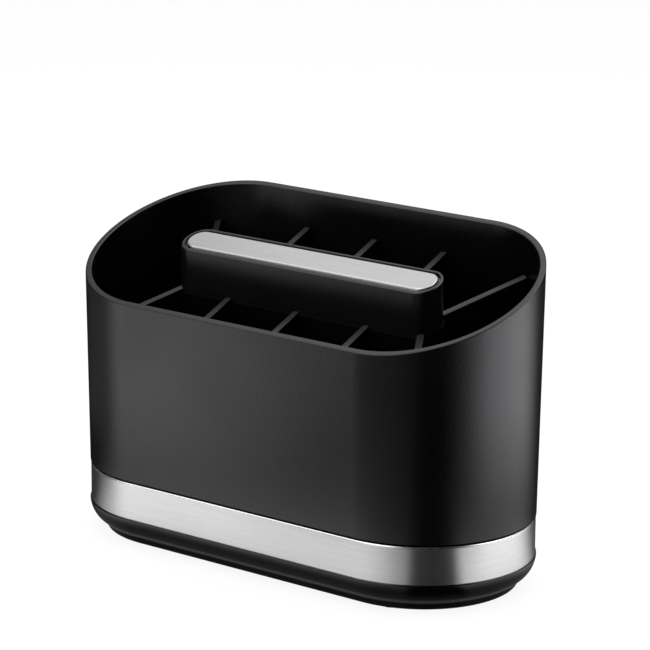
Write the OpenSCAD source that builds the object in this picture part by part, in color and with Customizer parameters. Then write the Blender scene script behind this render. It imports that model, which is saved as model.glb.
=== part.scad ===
// Utensil holder with a slanted rim: a stadium-plan container with a steel band and a rounded base on
// rubber feet, and a lift-out insert of divider panels around a hollow core with a handle.
// Frame: origin on the ground under the middle of the container, X along its length, +Y to the back,
// where the rim is high, and +Z up. Sizes are in millimetres and angles in degrees.

/* [Container] */
// Length at the lower edge of the shell
body_l = 241.2; // [210:0.2:280]
// Width at the lower edge of the shell
body_w = 107; // [98:0.2:124]
// Height of the slanted rim above the ground, at mid width
rim_h = 141.7; // [125:0.1:170]
// Slant of the rim, rising to the back
rim_slant = 20.4; // [12:0.1:26]
// Outward draft of the walls
draft = 0.8; // [0.3:0.1:1.5]
// Level thickness of the wall
wall_t = 3; // [2.5:0.1:4]
// Thickness of the floor
floor_t = 3; // [2.5:0.1:5]

/* [Steel band] */
// Height of the band
band_h = 18; // [12:0.5:24]
// Thickness of the steel
band_t = 0.6; // [0.4:0.1:0.9]
// Depth of the band's face behind the shell's lower edge
band_inset = 0.3; // [0.1:0.1:0.8]
// Shadow gap between the band and the shell above it
band_gap = 0.4; // [0.2:0.1:0.8]
// Gap between the band and the skirt that it goes round
band_fit = 0.15; // [0.1:0.05:0.3]

/* [Base] */
// Height of the base's top edge, where the band and the container stand
base_h = 15; // [13:0.5:20]
// How far the base's top edge stands out past the shell's lower edge
base_proud = 0.3; // [0:0.1:0.8]
// Radius of the rounded side
base_round = 10.8; // [9.2:0.1:12]
// Depth of the lower tier behind the base's top edge
tier_inset = 8.1; // [7:0.1:8.8]
// Rounding of the tier's lower edge
tier_round = 1; // [0.4:0.1:1.6]
// Wall and bottom of the base
base_wall = 2.4; // [2:0.1:3]
// Width of the ledge that carries the band and the container
ledge_w = 5; // [4:0.1:7]
// Thickness of that ledge
ledge_t = 3; // [2:0.1:4]

/* [Feet] */
// Diameter of a rubber foot
foot_d = 10.5; // [8:0.1:13]
// Height of a rubber foot
foot_h = 2.1; // [1.6:0.1:2.8]
// How far a foot stands out below the tier
foot_out = 0.7; // [0.5:0.1:1.3]
// Gap round a foot in its recess
foot_fit = 0.2; // [0.1:0.05:0.4]
// Distance from the tier's edge to a foot's edge
foot_edge = 2; // [1.5:0.1:4]
// Turn of the feet from the long sides, about the centres of the round ends
foot_turn = 16; // [5:1:35]

/* [Screws] */
// Thread diameter
screw_d = 3; // [2.5:0.1:3.5]
// Head diameter
head_d = 5.6; // [5:0.1:6.4]
// Head height
head_h = 2.2; // [1.6:0.1:2.6]
// Length of the base screws under the head
base_screw_l = 11; // [9:0.5:11.5]
// Length of the handle screws under the head
handle_screw_l = 12; // [8:0.5:16]
// Distance between the handle screws
handle_screw_pitch = 90; // [60:1:110]
// Diameter of the bosses that the screws bite into
boss_d = 8; // [7:0.1:9]
// Gap round a thread
thread_gap = 0.1; // [0.05:0.05:0.2]
// Gap round a shank or a head
screw_gap = 0.25; // [0.15:0.05:0.4]

/* [Insert] */
// Depth of the divider tops below the rim, measured upright
divider_drop = 17.9; // [12:0.1:26]
// Slant of the divider tops, a little steeper than the rim
divider_slant = 21.2; // [12:0.1:26]
// Thickness of a divider panel
divider_t = 3.5; // [2.4:0.1:4.4]
// Distance between the straight dividers
divider_pitch = 41; // [34:0.5:50]
// Flare of the corner dividers from the straight ones
corner_flare = 30; // [20:1:40]
// Gap between the panels and the container's wall
wall_gap = 0.5; // [0.3:0.1:1]
// Gap between the panels and the container's floor
floor_gap = 0.4; // [0.2:0.1:0.8]
// Depth of the core's top below the divider tops, measured upright
core_drop = 1.8; // [0.8:0.1:4]
// Ledge of the core round the handle
core_ledge = 0.4; // [0.1:0.1:1]
// Wall of the core
core_wall = 2.6; // [2.2:0.1:3.2]
// Depth of the grooves that hold the panels
groove_depth = 1.3; // [0.8:0.1:1.6]
// Gap round a panel in its groove
groove_fit = 0.1; // [0.05:0.05:0.2]
// Depth of the core's deck below its top, at mid width
deck_drop = 16; // [8:0.5:24]
// Thickness of the deck
deck_t = 2.5; // [2:0.1:4]

/* [Handle] */
// Length of the handle
handle_l = 151; // [130:0.2:166]
// Width of the handle
handle_w = 18.5; // [16.5:0.1:22]
// Rise of the handle's lip above the container's rim, measured upright
handle_rise = 1.5; // [0:0.1:6]
// Wall of the handle
handle_wall = 2; // [1.6:0.1:2.6]
// Roof under the inlay
handle_roof = 2.2; // [1.6:0.1:3.5]
// Width of the lip round the inlay's pocket
lip_w = 1.5; // [0.8:0.1:2.4]
// Thickness of the steel inlay
plate_t = 1.5; // [1:0.1:2]
// How far the inlay stands out of the lip, measured upright
plate_out = 0.3; // [0.1:0.1:1.2]
// Groove round the inlay
plate_gap = 1.3; // [0.3:0.1:1.8]
// Thickness of the tape under the inlay
tape_t = 0.4; // [0.2:0.1:0.8]
// Margin of the tape inside the inlay's edge
tape_margin = 1; // [0.5:0.1:2]

/* [Hidden] */
$fn = 96;
SIDES = [-1, 1];
// Length of cutting blocks, past any size above
REACH = 4 * body_l;
BLACK = "#1c1c1e";
SOFT_BLACK = "#2a2a2c";
STEEL = "#c9c9cb";

// Container: half width and the centres of the round ends
half_w = body_w / 2;
spine = (body_l - body_w) / 2;
shell_z = base_h + band_h + band_gap;
floor_z = base_h + floor_t;
// The shell is drawn taller than its rim, and the slant then cuts it
blank_h = rim_h + body_w * tan(rim_slant);
band_r = half_w - band_inset;
skirt_r = band_r - band_t - band_fit;

// Base and feet
base_r = half_w + base_proud;
tier_r = base_r - tier_inset;
foot_r = tier_r - foot_edge - foot_d / 2;
recess_z = foot_h;
pillar_d = foot_d + 2 * foot_fit + base_wall;
seat_z = recess_z + head_h + screw_gap;
pillar_z = seat_z + base_wall;
pilot_base_z = seat_z + base_screw_l + screw_gap;

// Slanted levels of the insert, at mid width
divider_z = rim_h - divider_drop;
core_z = divider_z - core_drop;
deck_z = core_z - deck_drop;
lip_z = rim_h + handle_rise;
pocket_z = lip_z + plate_out - plate_t - tape_t;
plate_z = pocket_z + tape_t;
roof_z = pocket_z - handle_roof;

// Core, handle and inlay outlines
pocket_l = handle_l - 2 * lip_w;
pocket_w = handle_w - 2 * lip_w;
plate_l = pocket_l - 2 * plate_gap;
plate_w = pocket_w - 2 * plate_gap;
core_l = handle_l + 2 * core_ledge;
core_w = handle_w + 2 * core_ledge;
core_spine = (core_l - core_w) / 2;
groove_r = core_w / 2 - groove_depth;

// Outer radius of the container's drafted wall at height z
function wall_r(z) = half_w + (z - shell_z) * tan(draft);

// Sweep a half profile (radius, height) round a stadium: two half turns and two straight runs
module stadium_sweep(centre) {
    for (side = SIDES)
        translate([side * centre, 0, 0])
            rotate([0, 0, -90 * side])
                rotate_extrude(angle = 180)
                    children();
    rotate([90, 0, 90])
        linear_extrude(2 * centre, center = true) {
            children();
            mirror([1, 0])
                children();
        }
}

// Upright stadium block of length l and width w between two heights
module stadium_block(l, w, z0, z1) {
    stadium_sweep((l - w) / 2)
        translate([0, z0])
            square([w / 2, z1 - z0]);
}

// Everything above the slanted plane that passes height z at mid width
module above_slant(z, slant = rim_slant) {
    translate([0, 0, z])
        rotate([slant, 0, 0])
            translate([-REACH / 2, -REACH / 2, 0])
                cube([REACH, REACH, REACH]);
}

// Children once at each foot
module at_feet() {
    for (x = SIDES, y = SIDES)
        foot_place(x, y)
            children();
}

// Children at the foot on side x and side y
module foot_place(x, y) {
    translate([x * (spine + foot_r * sin(foot_turn)), y * foot_r * cos(foot_turn), 0])
        children();
}

// Children at both handle screws
module at_handle_screws() {
    for (x = SIDES)
        translate([x * handle_screw_pitch / 2, 0, 0])
            children();
}

// Pan-head screw pointing up, with its head's seat at z = 0
module screw(length) {
    translate([0, 0, -head_h])
        cylinder(d = head_d, h = head_h);
    cylinder(d = screw_d, h = length);
}

// Half profile of the container before its rim is cut
module shell_profile() {
    polygon([
        [0, base_h],
        [skirt_r, base_h],
        [skirt_r, shell_z],
        [wall_r(shell_z), shell_z],
        [wall_r(blank_h), blank_h],
        [wall_r(blank_h) - wall_t, blank_h],
        [wall_r(floor_z) - wall_t, floor_z],
        [0, floor_z]
    ]);
}

// Drafted container with a floor, cut on a slant, and screw bosses under the floor
module container_shell() {
    color(BLACK)
        difference() {
            union() {
                difference() {
                    stadium_sweep(spine)
                        shell_profile();
                    above_slant(rim_h);
                }
                at_feet()
                    translate([0, 0, pillar_z])
                        cylinder(d = boss_d, h = base_h - pillar_z);
            }
            at_feet()
                translate([0, 0, pillar_z])
                    cylinder(d = screw_d + 2 * thread_gap, h = pilot_base_z - pillar_z);
        }
}

// Closed steel strip round the container's skirt
module steel_band() {
    color(STEEL)
        stadium_sweep(spine)
            translate([band_r - band_t, base_h])
                square([band_t, band_h]);
}

// Half profile of the base: a rounded side over a lower tier, hollow, with a ledge at the top
module base_profile() {
    round_r = base_r - base_round;
    difference() {
        union() {
            intersection() {
                translate([round_r, base_h])
                    circle(base_round);
                translate([round_r, 0])
                    square([base_round, base_h]);
            }
            translate([0, foot_out + tier_round])
                square([tier_r, base_h - foot_out - tier_round]);
            translate([0, foot_out])
                square([tier_r - tier_round, 2 * tier_round]);
            translate([tier_r - tier_round, foot_out + tier_round])
                circle(tier_round);
        }
        translate([0, foot_out + base_wall])
            square([tier_r - base_wall, base_h]);
        intersection() {
            translate([round_r, base_h])
                circle(base_round - base_wall);
            translate([round_r, 0])
                square([base_round, base_h]);
        }
    }
    translate([base_r - ledge_w, base_h - ledge_t])
        square([ledge_w - base_wall / 2, ledge_t]);
}

// Rounded base with a pillar over each foot: foot recess, screw head seat and shank hole
module base() {
    color(BLACK)
        difference() {
            union() {
                stadium_sweep(spine)
                    base_profile();
                at_feet()
                    translate([0, 0, foot_out])
                        cylinder(d = pillar_d, h = pillar_z - foot_out);
            }
            at_feet() {
                cylinder(d = foot_d + 2 * foot_fit, h = recess_z);
                cylinder(d = head_d + 2 * screw_gap, h = seat_z);
                cylinder(d = screw_d + 2 * screw_gap, h = pillar_z);
            }
        }
}

// Screws from the foot recesses up into the container's bosses
module base_screws() {
    color(STEEL)
        at_feet()
            translate([0, 0, seat_z])
                screw(base_screw_l);
}

// Rubber foot with a rounded lower edge, seated in its recess
module foot(x, y) {
    edge = foot_out / 2;
    color(SOFT_BLACK)
        foot_place(x, y)
            rotate_extrude() {
                square([foot_d / 2 - edge, foot_h]);
                translate([0, edge])
                    square([foot_d / 2, foot_h - edge]);
                translate([foot_d / 2 - edge, edge])
                    circle(edge);
            }
}

module foot_front_left() { foot(-1, -1); }
module foot_front_right() { foot(1, -1); }
module foot_back_left() { foot(-1, 1); }
module foot_back_right() { foot(1, 1); }

// Slab of thickness t from distance from_r outwards, along +Y
module slab(t, from_r, z0) {
    translate([-t / 2, from_r, z0])
        cube([t, body_w, REACH]);
}

// Children at a straight divider: column -1, 0 or 1, and side -1 (front) or 1 (back)
module straight_place(column, side) {
    translate([column * divider_pitch, 0, 0])
        rotate([0, 0, side > 0 ? 0 : 180])
            children();
}

// Children at a corner divider, turned about the centre of the core's round end
module corner_place(x, y) {
    turn = y > 0 ? -x * corner_flare : 180 + x * corner_flare;
    translate([x * core_spine, 0, 0])
        rotate([0, 0, turn])
            children();
}

// Space inside the container that a panel may fill, down from the divider tops
module panel_space() {
    top = blank_h;
    low = floor_z + floor_gap;
    inset = wall_t + wall_gap;
    difference() {
        stadium_sweep(spine)
            polygon([
                [0, low],
                [wall_r(low) - inset, low],
                [wall_r(top) - inset, top],
                [0, top]
            ]);
        above_slant(divider_z, divider_slant);
    }
}

// Room that the handle takes above the core, with its gap to the panels
module handle_room() {
    intersection() {
        stadium_block(handle_l + 2 * groove_fit, handle_w + 2 * groove_fit, floor_z, blank_h);
        above_slant(core_z);
    }
}

// A slab given as a child, trimmed to the container and to the handle
module panel() {
    color(SOFT_BLACK)
        difference() {
            intersection() {
                children();
                panel_space();
            }
            handle_room();
        }
}

// Straight divider panel with its inner edge in a groove of the core
module straight_divider(column, side) {
    panel()
        straight_place(column, side)
            slab(divider_t, groove_r + groove_fit, floor_z);
}

// Flared divider panel with its inner edge in a groove of the core's round end
module corner_divider(x, y) {
    panel()
        corner_place(x, y)
            slab(divider_t, groove_r + groove_fit, floor_z);
}

module front_divider_left() { straight_divider(-1, -1); }
module front_divider_middle() { straight_divider(0, -1); }
module front_divider_right() { straight_divider(1, -1); }
module back_divider_left() { straight_divider(-1, 1); }
module back_divider_middle() { straight_divider(0, 1); }
module back_divider_right() { straight_divider(1, 1); }
module corner_divider_front_left() { corner_divider(-1, -1); }
module corner_divider_front_right() { corner_divider(1, -1); }
module corner_divider_back_left() { corner_divider(-1, 1); }
module corner_divider_back_right() { corner_divider(1, 1); }

// Hollow centre wall that stands on the floor, with a groove for each panel and a deck for the screws
module divider_core() {
    inner_l = core_l - 2 * core_wall;
    inner_w = core_w - 2 * core_wall;
    groove_t = divider_t + 2 * groove_fit;
    color(SOFT_BLACK)
        difference() {
            stadium_block(core_l, core_w, floor_z, blank_h);
            above_slant(core_z);
            stadium_block(inner_l, inner_w, floor_z - floor_t, deck_z - deck_t);
            stadium_block(inner_l, inner_w, deck_z, blank_h);
            for (column = [-1:1], side = SIDES)
                straight_place(column, side)
                    slab(groove_t, groove_r, floor_z - floor_t);
            for (x = SIDES, y = SIDES)
                corner_place(x, y)
                    slab(groove_t, groove_r, floor_z - floor_t);
            at_handle_screws()
                translate([0, 0, deck_z - 2 * deck_t])
                    cylinder(d = screw_d + 2 * screw_gap, h = 3 * deck_t);
        }
}

// Upper moulding: hollow walls, a slanted roof with a pocket for the inlay, and two screw bosses
module handle_shell() {
    color(BLACK)
        difference() {
            union() {
                difference() {
                    stadium_block(handle_l, handle_w, floor_z, blank_h);
                    above_slant(lip_z);
                    handle_hollow();
                    below_core();
                }
                at_handle_screws()
                    difference() {
                        translate([0, 0, deck_z])
                            cylinder(d = boss_d, h = blank_h - deck_z);
                        above_slant(roof_z + handle_roof / 2);
                    }
            }
            intersection() {
                stadium_block(pocket_l, pocket_w, floor_z, blank_h);
                above_slant(pocket_z);
            }
            at_handle_screws()
                translate([0, 0, deck_z])
                    cylinder(d = screw_d + 2 * thread_gap, h = handle_screw_l + screw_gap - deck_t);
        }
}

// Inside of the handle's walls, up to the underside of its roof
module handle_hollow() {
    difference() {
        stadium_block(handle_l - 2 * handle_wall, handle_w - 2 * handle_wall, floor_z, blank_h);
        above_slant(roof_z);
    }
}

// Everything below the core's slanted top
module below_core() {
    translate([0, 0, core_z])
        rotate([rim_slant, 0, 0])
            translate([-REACH / 2, -REACH / 2, -REACH])
                cube([REACH, REACH, REACH]);
}

// Screws from under the core's deck up into the handle's bosses
module handle_screws() {
    color(STEEL)
        at_handle_screws()
            translate([0, 0, deck_z - deck_t])
                screw(handle_screw_l);
}

// Layer of the inlay between two slanted levels
module inlay_layer(l, w, z0, z1) {
    difference() {
        intersection() {
            stadium_block(l, w, floor_z, blank_h);
            above_slant(z0);
        }
        above_slant(z1);
    }
}

// Double-sided tape under the inlay
module plate_tape() {
    color(SOFT_BLACK)
        inlay_layer(plate_l - 2 * tape_margin, plate_w - 2 * tape_margin, pocket_z, plate_z);
}

// Brushed steel inlay
module handle_plate() {
    color(STEEL)
        inlay_layer(plate_l, plate_w, plate_z, plate_z + plate_t);
}

container_shell();
steel_band();
base();
base_screws();
foot_front_left();
foot_front_right();
foot_back_left();
foot_back_right();
divider_core();
front_divider_left();
front_divider_middle();
front_divider_right();
back_divider_left();
back_divider_middle();
back_divider_right();
corner_divider_front_left();
corner_divider_front_right();
corner_divider_back_left();
corner_divider_back_right();
handle_shell();
handle_screws();
plate_tape();
handle_plate();
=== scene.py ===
"""Dressed scene of a free-standing utensil holder.

The holder is a black moulded container with a slanted rim, a brushed steel band, a rounded base on
rubber feet, and a lift-out insert of divider panels round a handle with a brushed steel inlay.
Lengths are in metres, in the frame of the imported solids: X along the holder, +Y to its high back and
+Z up from the ground.
"""

from __future__ import annotations

import logging
import math
from dataclasses import dataclass, field
from enum import Enum, IntEnum
from functools import cached_property, partial, reduce
from typing import Callable, Sequence

import bmesh
import bpy
from mathutils import Euler, Matrix, Vector

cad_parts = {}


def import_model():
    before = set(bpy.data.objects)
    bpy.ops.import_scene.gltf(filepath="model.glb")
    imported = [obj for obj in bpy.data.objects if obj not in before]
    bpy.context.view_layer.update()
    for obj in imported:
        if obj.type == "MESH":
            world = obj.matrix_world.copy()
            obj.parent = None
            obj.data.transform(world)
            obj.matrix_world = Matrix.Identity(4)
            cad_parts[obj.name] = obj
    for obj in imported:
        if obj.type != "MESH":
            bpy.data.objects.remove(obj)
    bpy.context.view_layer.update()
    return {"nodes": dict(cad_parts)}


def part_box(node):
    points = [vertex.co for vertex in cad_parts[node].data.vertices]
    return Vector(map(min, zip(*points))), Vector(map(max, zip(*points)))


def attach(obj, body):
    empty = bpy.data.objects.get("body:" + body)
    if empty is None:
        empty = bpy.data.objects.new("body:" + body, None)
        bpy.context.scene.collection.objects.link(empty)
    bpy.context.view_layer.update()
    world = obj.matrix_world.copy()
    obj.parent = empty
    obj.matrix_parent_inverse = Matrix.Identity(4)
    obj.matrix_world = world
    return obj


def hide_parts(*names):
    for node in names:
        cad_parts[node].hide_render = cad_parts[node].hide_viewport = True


LOG = logging.getLogger("utensil_holder")

Point = tuple[float, float]
Triple = tuple[float, float, float]
Piece = bpy.types.Object
Material = bpy.types.Material
Socket = bpy.types.NodeSocket


def mm(length: float) -> float:
    """A length in millimetres, in metres."""
    return length * 0.001


def at_height(z: float) -> Vector:
    """The place on the holder's upright middle line at a height."""
    return Vector((0.0, 0.0, z))


def arc(centre: Point, radius: float, start: float, end: float, steps: int) -> list[Point]:
    """Points along an arc of a half profile.

    Args:
        centre: radius and height of the arc's centre.
        radius: radius of the arc.
        start: first angle in degrees, from the outward direction towards up.
        end: last angle in degrees.
        steps: number of chords.

    Returns:
        The steps + 1 points from the first angle to the last.
    """
    turns = [math.radians(start + (end - start) * i / steps) for i in range(steps + 1)]
    return [(centre[0] + radius * math.cos(t), centre[1] + radius * math.sin(t)) for t in turns]


@dataclass(frozen=True)
class Slant:
    """A family of slanted planes that rise to the back at one angle."""

    degrees: float = 20.4

    @property
    def rise(self) -> float:
        """Rise of a plane per unit of depth."""
        return math.tan(math.radians(self.degrees))

    @property
    def normal(self) -> Vector:
        """Upward normal of the planes."""
        turn = math.radians(self.degrees)
        return Vector((0.0, -math.sin(turn), math.cos(turn)))


@dataclass(frozen=True)
class Outline:
    """A stadium outline: half-round ends joined by straight sides."""

    centre: float
    radius: float

    @classmethod
    def of_node(cls, node: str) -> Outline:
        """The outline of a solid, from its box.

        Args:
            node: name of the solid in the frame.

        Returns:
            The outline with the solid's length and width.
        """
        low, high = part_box(node)
        length, width = high.x - low.x, high.y - low.y
        return cls(centre=(length - width) / 2, radius=width / 2)

    def along(self, x: float, y: float, half: float) -> float:
        """Distance along the outline from the front middle, positive on the +X half.

        Args:
            x: place along the holder.
            y: place across the holder.
            half: -1 or 1, the half that the place is taken to be on.

        Returns:
            The signed distance along the outline.
        """
        reach = abs(x)
        if reach > self.centre:
            turn = math.atan2(reach - self.centre, -y)
            return half * (self.centre + self.radius * turn)
        if y < 0:
            return half * reach
        return half * (2 * self.centre - reach + math.pi * self.radius)


class Bench:
    """Modelling tools for one mesh object at a time, most of them edit-mode operators."""

    MERGE = 2e-6
    CUT = 1e-7
    ON_PLANE = 2e-6
    PARALLEL = 0.999
    SMOOTH = math.radians(38)
    NORMAL_WEIGHT = 60

    @staticmethod
    def to_object_mode() -> None:
        """Leaves edit mode."""
        if bpy.context.mode != "OBJECT":
            bpy.ops.object.mode_set(mode="OBJECT")

    @classmethod
    def clear(cls) -> None:
        """Leaves edit mode and deselects every object."""
        cls.to_object_mode()
        bpy.ops.object.select_all(action="DESELECT")

    @classmethod
    def activate(cls, piece: Piece) -> None:
        """Selects one object alone and makes it the active one.

        Args:
            piece: the object.
        """
        cls.clear()
        piece.select_set(True)
        bpy.context.view_layer.objects.active = piece

    @classmethod
    def take(cls, piece: Piece) -> None:
        """Opens one object in edit mode with all of it selected.

        Args:
            piece: the object.
        """
        cls.activate(piece)
        bpy.ops.object.mode_set(mode="EDIT")
        bpy.ops.mesh.select_mode(type="VERT")
        bpy.ops.mesh.select_all(action="SELECT")

    @staticmethod
    def name(piece: Piece, name: str) -> Piece:
        """Names an object and its mesh alike, and returns it."""
        piece.name = piece.data.name = name
        return piece

    @staticmethod
    def pick(piece: Piece, mode: str, test: Callable[..., bool]) -> None:
        """Selects only those edges or faces of the open object that pass a test.

        Args:
            piece: the object in edit mode.
            mode: EDGE or FACE.
            test: says whether an edge or a face is wanted.
        """
        bpy.ops.mesh.select_mode(type=mode)
        bpy.ops.mesh.select_all(action="DESELECT")
        work = bmesh.from_edit_mesh(piece.data)
        for item in filter(test, work.edges if mode == "EDGE" else work.faces):
            item.select_set(True)
        work.select_flush_mode()
        bmesh.update_edit_mesh(piece.data)

    @classmethod
    def in_plane(cls, face: bmesh.types.BMFace, place: Vector, normal: Vector) -> bool:
        """Whether a face lies in the plane through a place."""
        level = abs((face.calc_center_median() - place).dot(normal)) < cls.ON_PLANE
        return level and abs(face.normal.dot(normal)) > cls.PARALLEL

    @classmethod
    def pick_borders(
        cls, piece: Piece, place: Vector, normal: Vector, wanted: Callable[..., bool] = bool
    ) -> None:
        """Selects the edges round the faces that lie in a plane.

        Args:
            piece: the object in edit mode.
            place: a point of the plane.
            normal: the plane's normal.
            wanted: says which of these edges are taken, and all are by default.
        """

        def is_border(edge: bmesh.types.BMEdge) -> bool:
            """Whether a wanted edge has one face in the plane."""
            return wanted(edge) and sum(cls.in_plane(face, place, normal) for face in edge.link_faces) == 1

        cls.pick(piece, "EDGE", is_border)

    @staticmethod
    def extrude(move: Sequence[float]) -> None:
        """Extrudes the selection by a move."""
        bpy.ops.mesh.extrude_region_move(TRANSFORM_OT_translate={"value": tuple(move)})

    @staticmethod
    def bevel(width: float, segments: int) -> None:
        """Rounds the selected edges."""
        bpy.ops.mesh.bevel(offset=width, segments=segments, profile=0.5, affect="EDGES")

    @classmethod
    def apply(cls, piece: Piece, kind: str, **settings: object) -> None:
        """Adds a modifier to an object and applies it.

        Args:
            piece: the object to change.
            kind: the modifier's type.
            settings: values for the modifier's properties.
        """
        cls.activate(piece)
        modifier = piece.modifiers.new(kind.title(), kind)
        for key, value in settings.items():
            setattr(modifier, key, value)
        bpy.ops.object.modifier_apply(modifier=modifier.name)

    @classmethod
    def tidy(cls, piece: Piece) -> None:
        """Merges doubles and turns the faces outwards.

        Args:
            piece: the object to clean up.
        """
        cls.take(piece)
        bpy.ops.mesh.remove_doubles(threshold=cls.MERGE)
        bpy.ops.mesh.normals_make_consistent(inside=False)
        cls.to_object_mode()

    @classmethod
    def finish(cls, piece: Piece) -> None:
        """Shades a finished piece smooth across its roundings and flat across its faces.

        Args:
            piece: the finished piece.
        """
        cls.activate(piece)
        bpy.ops.object.shade_smooth_by_angle(angle=cls.SMOOTH)
        cls.apply(piece, "WEIGHTED_NORMAL", keep_sharp=True, weight=cls.NORMAL_WEIGHT)
        cls.clear()

    @classmethod
    def sweep(
        cls, name: str, profile: Sequence[Point], centre: float, steps: int, closed: bool = False
    ) -> Piece:
        """Sweeps a half profile round a stadium.

        The profile is drawn point by point, spun half a turn about the round end's centre, drawn out
        along the straight sides and mirrored.

        Args:
            name: name of the new object.
            profile: points as radius and height.
            centre: distance of the round end's centre from the middle.
            steps: steps of the half turn.
            closed: joins the profile's last point to its first.

        Returns:
            The new object, at the origin.
        """
        cls.clear()
        bpy.ops.mesh.primitive_plane_add(size=mm(1))
        piece = cls.name(bpy.context.object, name)
        cls.take(piece)
        bpy.ops.mesh.merge(type="CENTER")
        bpy.ops.transform.translate(value=(centre, -profile[0][0], profile[0][1]))
        for (r0, z0), (r1, z1) in zip(profile, profile[1:]):
            cls.extrude((0.0, r0 - r1, z1 - z0))
        if closed:
            ends = [Vector((centre, -r, z)) for r, z in (profile[0], profile[-1])]
            work = bmesh.from_edit_mesh(piece.data)
            for vert in work.verts:
                vert.select_set(any((vert.co - end).length < cls.ON_PLANE for end in ends))
            bmesh.update_edit_mesh(piece.data)
            bpy.ops.mesh.edge_face_add()
        bpy.ops.mesh.select_all(action="SELECT")
        bpy.ops.mesh.spin(steps=steps, angle=-math.pi, center=(centre, 0.0, 0.0), axis=(0.0, 0.0, 1.0))
        bpy.ops.mesh.select_all(action="SELECT")
        bpy.ops.mesh.remove_doubles(threshold=cls.MERGE)
        cls.pick(
            piece,
            "EDGE",
            lambda edge: all(abs(vert.co.x - centre) < cls.ON_PLANE for vert in edge.verts),
        )
        cls.extrude((-centre, 0.0, 0.0))
        cls.apply(piece, "MIRROR", use_axis=(True, False, False), merge_threshold=cls.MERGE)
        cls.tidy(piece)
        return piece

    @classmethod
    def cut(cls, piece: Piece, place: Vector, normal: Vector, fill: bool = True) -> None:
        """Cuts away what lies on the normal's side of a plane.

        Args:
            piece: the object to cut.
            place: a point of the plane.
            normal: direction of the side that is cut away.
            fill: closes the cut with one face.
        """
        cls.take(piece)
        bpy.ops.mesh.bisect(
            plane_co=place, plane_no=normal, use_fill=fill, clear_outer=True, threshold=cls.CUT
        )
        cls.to_object_mode()


class NodeSheet:
    """A node tree that is being drawn, with short calls to add and join nodes."""

    # Sockets of the colour mix, which share their names with those of its other data types.
    MIX_FIRST, MIX_SECOND, MIX_RESULT = 6, 7, 2

    def __init__(self, tree: bpy.types.NodeTree) -> None:
        """Keeps the tree to draw on."""
        self.tree = tree

    def feed(self, node: bpy.types.Node, values: dict[str | int, object]) -> None:
        """Gives inputs of a node their values.

        Args:
            node: the node to feed.
            values: a plain value, or the socket to join, for each input by name or index.
        """
        for key, value in values.items():
            if isinstance(value, Socket):
                self.tree.links.new(value, node.inputs[key])
            else:
                node.inputs[key].default_value = value

    def add(
        self, kind: str, values: dict[str | int, object] | None = None, **settings: object
    ) -> bpy.types.Node:
        """Adds a node.

        Args:
            kind: the node's type.
            values: plain values or sockets for its inputs, by name or index.
            settings: values of its own properties.

        Returns:
            The new node.
        """
        node = self.tree.nodes.new(kind)
        for key, value in settings.items():
            setattr(node, key, value)
        self.feed(node, values or {})
        return node

    def math(self, operation: str, *items: Socket | float) -> Socket:
        """Adds a math node on some sockets or numbers, and returns the result's socket."""
        return self.add("ShaderNodeMath", dict(enumerate(items)), operation=operation).outputs[0]

    def product(self, *items: Socket | float) -> Socket:
        """Multiplies two or more sockets or numbers, and returns the result's socket."""
        return reduce(partial(self.math, "MULTIPLY"), items)

    def ramp(
        self,
        value: Socket,
        limits: tuple[Socket | float, Socket | float],
        low: float = 0.0,
        high: float = 1.0,
        smooth: bool = False,
    ) -> Socket:
        """Change of a value between two limits.

        Args:
            value: the value that drives the change.
            limits: where the change starts and ends.
            low: result at the start.
            high: result at the end.
            smooth: eases the change at both ends.

        Returns:
            The result's socket.
        """
        node = self.add(
            "ShaderNodeMapRange",
            {"Value": value, "From Min": limits[0], "From Max": limits[1], "To Min": low, "To Max": high},
            interpolation_type="SMOOTHSTEP" if smooth else "LINEAR",
        )
        return node.outputs["Result"]

    def span(self, mask: Socket, low: float, high: float) -> Socket:
        """Maps a mask from 0 to 1 to another range, and returns the result's socket."""
        return self.ramp(mask, (0.0, 1.0), low, high)

    def blend(self, share: Socket, dark: Triple, pale: Triple) -> Socket:
        """Adds a mix of two plain colours by the second one's share, and returns its socket."""
        values = {"Factor": share, self.MIX_FIRST: (*dark, 1.0), self.MIX_SECOND: (*pale, 1.0)}
        return self.add("ShaderNodeMix", values, data_type="RGBA").outputs[self.MIX_RESULT]

    def noise(
        self, place: Socket, scale: Socket | float, detail: float, rough: float, bend: float = 0.0
    ) -> Socket:
        """Adds a noise texture that is read at a place, and returns the noise value's socket."""
        values = {"Vector": place, "Scale": scale, "Detail": detail, "Roughness": rough, "Distortion": bend}
        return self.add("ShaderNodeTexNoise", values).outputs[0]


FLOAT = "NodeSocketFloat"
VECTOR = "NodeSocketVector"


class EffectGroup:
    """A shader node group for an effect that is used more than once."""

    def __init__(self, name: str, inputs: dict[str, str], outputs: Sequence[str]) -> None:
        """Makes the group's tree and its sockets.

        Args:
            name: name of the group.
            inputs: socket type of each input.
            outputs: names of the outputs, which are all values.
        """
        self.tree = bpy.data.node_groups.new(name, "ShaderNodeTree")
        for label, kind in inputs.items():
            self.tree.interface.new_socket(name=label, in_out="INPUT", socket_type=kind)
        for label in outputs:
            self.tree.interface.new_socket(name=label, in_out="OUTPUT", socket_type=FLOAT)
        self.sheet = NodeSheet(self.tree)
        self.inlet = self.sheet.add("NodeGroupInput")
        self.outlet = self.sheet.add("NodeGroupOutput")

    def place(self, sheet: NodeSheet, values: dict[str, object]) -> bpy.types.Node:
        """Places the group in a tree with its own values or sockets, and returns its node."""
        return sheet.add("ShaderNodeGroup", values, node_tree=self.tree)


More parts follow.
